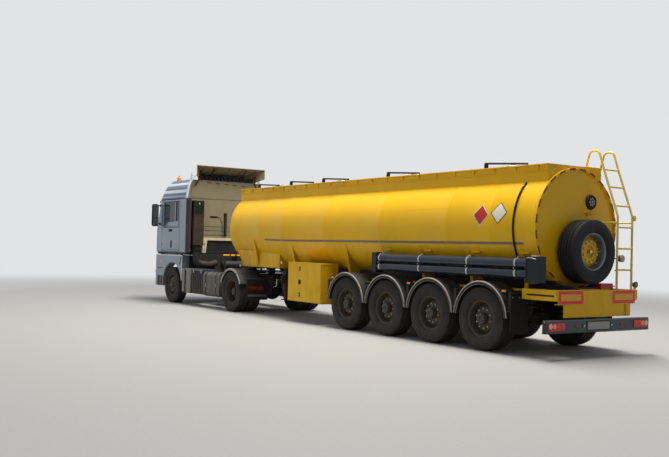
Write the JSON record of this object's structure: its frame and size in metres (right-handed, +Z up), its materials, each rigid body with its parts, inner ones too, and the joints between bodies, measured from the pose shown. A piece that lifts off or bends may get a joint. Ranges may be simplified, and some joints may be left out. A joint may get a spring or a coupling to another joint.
{
  "type": "articulated tank lorry",
  "caption": "Articulated fuel tank lorry: two-axle cab-over tractor with a sleeper cab, hinged at the kingpin to a round-tank semi-trailer with ladder, spare wheel and side cabinets.",
  "frame": {"origin": "on the ground, at the middle of the length and width", "axes": "+X towards the cab, +Y to the lorry's left side, +Z up"},
  "size_m": [15.56, 2.96, 3.87],
  "materials": {
    "tank_yellow": "glossy yellow paint, dusty below",
    "cab_paint": "light silver-blue paint with dust",
    "black_plastic": "black moulded plastic, dusty",
    "chassis_steel": "dark grey chassis paint with road dirt",
    "cast_iron": "greasy cast iron",
    "tyre": "worn black rubber with dust",
    "rim_paint": "grey rim paint, dusty",
    "glass": "tinted glass",
    "lamp_red": "red lamp lens",
    "lamp_clear": "clear lamp lens",
    "amber": "amber lens",
    "bare_aluminium": "dull aluminium",
    "guard_grey": "light grey plastic",
    "hose_rubber": "black rubber",
    "seat_fabric": "dark grey cloth"
  },
  "bodies": {
    "trailer": {"tank": "tank_yellow", "coaming": "tank_yellow", "roof_fittings": "bare_aluminium", "trailer_frame": "chassis_steel", "trailer_axles": "chassis_steel", "trailer_mudguards": "black_plastic", "spare_wheel": "tyre", "rear_beam": "tank_yellow", "light_bar": "chassis_steel", "rear_lamps": "lamp_red", "ladder": "tank_yellow", "hose_tubes": "black_plastic", "drain_hose": "hose_rubber", "side_cabinets": "tank_yellow", "landing_legs": "chassis_steel"},
    "tractor": {"tractor_frame": "chassis_steel", "fifth_wheel": "cast_iron", "drive_axle": "chassis_steel", "drive_mudguards": "guard_grey", "fuel_tanks": "bare_aluminium", "side_boxes": "black_plastic", "engine": "cast_iron", "front_axle": "chassis_steel", "front_bumper": "black_plastic", "headlamps": "lamp_clear", "front_fenders": "cab_paint"},
    "cab": {"cab_shell": "cab_paint", "windscreen": "glass", "grille": "cab_paint", "mirrors_and_visor": "black_plastic", "cab_interior": "seat_fabric", "roof_deflector": "cab_paint", "beacon": "amber", "air_intake": "black_plastic"},
    "manhole_lid_1": {"manhole_lid_1": "bare_aluminium"},
    "manhole_lid_2": {"manhole_lid_2": "bare_aluminium"},
    "manhole_lid_3": {"manhole_lid_3": "bare_aluminium"},
    "manhole_lid_4": {"manhole_lid_4": "bare_aluminium"},
    "cabinet_door_left": {"cabinet_door_left": "tank_yellow"},
    "cabinet_door_right": {"cabinet_door_right": "tank_yellow"},
    "landing_feet": {"landing_feet": "chassis_steel"},
    "trailer_wheel_left_1": {"trailer_wheel_left_1": "tyre"},
    "trailer_wheel_left_2": {"trailer_wheel_left_2": "tyre"},
    "trailer_wheel_left_3": {"trailer_wheel_left_3": "tyre"},
    "trailer_wheel_left_4": {"trailer_wheel_left_4": "tyre"},
    "trailer_wheel_right_1": {"trailer_wheel_right_1": "tyre"},
    "trailer_wheel_right_2": {"trailer_wheel_right_2": "tyre"},
    "trailer_wheel_right_3": {"trailer_wheel_right_3": "tyre"},
    "trailer_wheel_right_4": {"trailer_wheel_right_4": "tyre"},
    "drive_wheel_left": {"drive_wheel_left": "tyre"},
    "knuckle_left": {"knuckle_left": "chassis_steel"},
    "front_wheel_left": {"front_wheel_left": "tyre"},
    "door_left": {"door_left": "cab_paint", "door_glass_left": "glass"},
    "drive_wheel_right": {"drive_wheel_right": "tyre"},
    "knuckle_right": {"knuckle_right": "chassis_steel"},
    "front_wheel_right": {"front_wheel_right": "tyre"},
    "door_right": {"door_right": "cab_paint", "door_glass_right": "glass"}
  },
  "joints": [
    {"name": "articulation", "type": "hinge", "parent": "trailer", "child": "tractor", "pos_m": [3.305, 0, 1.12], "axis": [0, 0, 1], "range_deg": [-90, 90]},
    {"name": "cab_tilt", "type": "hinge", "parent": "tractor", "child": "cab", "pos_m": [7.57, 0, 1.02], "axis": [0, 1, 0], "range_deg": [0, 60]},
    {"name": "manhole_1_hinge", "type": "hinge", "parent": "trailer", "child": "manhole_lid_1", "pos_m": [2.006, 0, 3.18], "axis": [0, -1, 0], "range_deg": [0, 100]},
    {"name": "manhole_2_hinge", "type": "hinge", "parent": "trailer", "child": "manhole_lid_2", "pos_m": [-0.694, 0, 3.18], "axis": [0, -1, 0], "range_deg": [0, 100]},
    {"name": "manhole_3_hinge", "type": "hinge", "parent": "trailer", "child": "manhole_lid_3", "pos_m": [-3.394, 0, 3.18], "axis": [0, -1, 0], "range_deg": [0, 100]},
    {"name": "manhole_4_hinge", "type": "hinge", "parent": "trailer", "child": "manhole_lid_4", "pos_m": [-6.094, 0, 3.18], "axis": [0, -1, 0], "range_deg": [0, 100]},
    {"name": "cabinet_left_hinge", "type": "hinge", "parent": "trailer", "child": "cabinet_door_left", "pos_m": [-1.376, 1.203, 0.8875], "axis": [0, 0, 1], "range_deg": [0, 110]},
    {"name": "cabinet_right_hinge", "type": "hinge", "parent": "trailer", "child": "cabinet_door_right", "pos_m": [-1.376, -1.203, 0.8875], "axis": [0, 0, -1], "range_deg": [0, 110]},
    {"name": "landing_feet_slide", "type": "slide", "parent": "trailer", "child": "landing_feet", "axis": [0, 0, -1], "range_m": [0, 0.37]},
    {"name": "trailer_spin_left_1", "type": "hinge", "parent": "trailer", "child": "trailer_wheel_left_1", "pos_m": [-6.26, 1.0375, 0.535], "axis": [0, 1, 0], "continuous": true},
    {"name": "trailer_spin_left_2", "type": "hinge", "parent": "trailer", "child": "trailer_wheel_left_2", "pos_m": [-4.95, 1.0375, 0.535], "axis": [0, 1, 0], "continuous": true},
    {"name": "trailer_spin_left_3", "type": "hinge", "parent": "trailer", "child": "trailer_wheel_left_3", "pos_m": [-3.64, 1.0375, 0.535], "axis": [0, 1, 0], "continuous": true},
    {"name": "trailer_spin_left_4", "type": "hinge", "parent": "trailer", "child": "trailer_wheel_left_4", "pos_m": [-2.33, 1.0375, 0.535], "axis": [0, 1, 0], "continuous": true},
    {"name": "trailer_spin_right_1", "type": "hinge", "parent": "trailer", "child": "trailer_wheel_right_1", "pos_m": [-6.26, -1.0375, 0.535], "axis": [0, 1, 0], "continuous": true},
    {"name": "trailer_spin_right_2", "type": "hinge", "parent": "trailer", "child": "trailer_wheel_right_2", "pos_m": [-4.95, -1.0375, 0.535], "axis": [0, 1, 0], "continuous": true},
    {"name": "trailer_spin_right_3", "type": "hinge", "parent": "trailer", "child": "trailer_wheel_right_3", "pos_m": [-3.64, -1.0375, 0.535], "axis": [0, 1, 0], "continuous": true},
    {"name": "trailer_spin_right_4", "type": "hinge", "parent": "trailer", "child": "trailer_wheel_right_4", "pos_m": [-2.33, -1.0375, 0.535], "axis": [0, 1, 0], "continuous": true},
    {"name": "drive_spin_left", "type": "hinge", "parent": "tractor", "child": "drive_wheel_left", "pos_m": [2.705, 0.91, 0.507], "axis": [0, 1, 0], "continuous": true},
    {"name": "steer_left", "type": "hinge", "parent": "tractor", "child": "knuckle_left", "pos_m": [6.305, 0.85, 0.507], "axis": [0, 0, 1], "range_deg": [-40, 40]},
    {"name": "front_spin_left", "type": "hinge", "parent": "knuckle_left", "child": "front_wheel_left", "pos_m": [6.305, 1.08, 0.507], "axis": [0, 1, 0], "continuous": true},
    {"name": "door_left_hinge", "type": "hinge", "parent": "cab", "child": "door_left", "pos_m": [7.087, 1.224, 2.1925], "axis": [0, 0, -1], "range_deg": [0, 75]},
    {"name": "drive_spin_right", "type": "hinge", "parent": "tractor", "child": "drive_wheel_right", "pos_m": [2.705, -0.91, 0.507], "axis": [0, 1, 0], "continuous": true},
    {"name": "steer_right", "type": "hinge", "parent": "tractor", "child": "knuckle_right", "pos_m": [6.305, -0.85, 0.507], "axis": [0, 0, 1], "range_deg": [-40, 40]},
    {"name": "front_spin_right", "type": "hinge", "parent": "knuckle_right", "child": "front_wheel_right", "pos_m": [6.305, -1.08, 0.507], "axis": [0, 1, 0], "continuous": true},
    {"name": "door_right_hinge", "type": "hinge", "parent": "cab", "child": "door_right", "pos_m": [7.087, -1.224, 2.1925], "axis": [0, 0, 1], "range_deg": [0, 75]}
  ],
  "couplings": [
    {"joint": "steer_right", "follows": "steer_left", "ratio": 1}
  ]
}
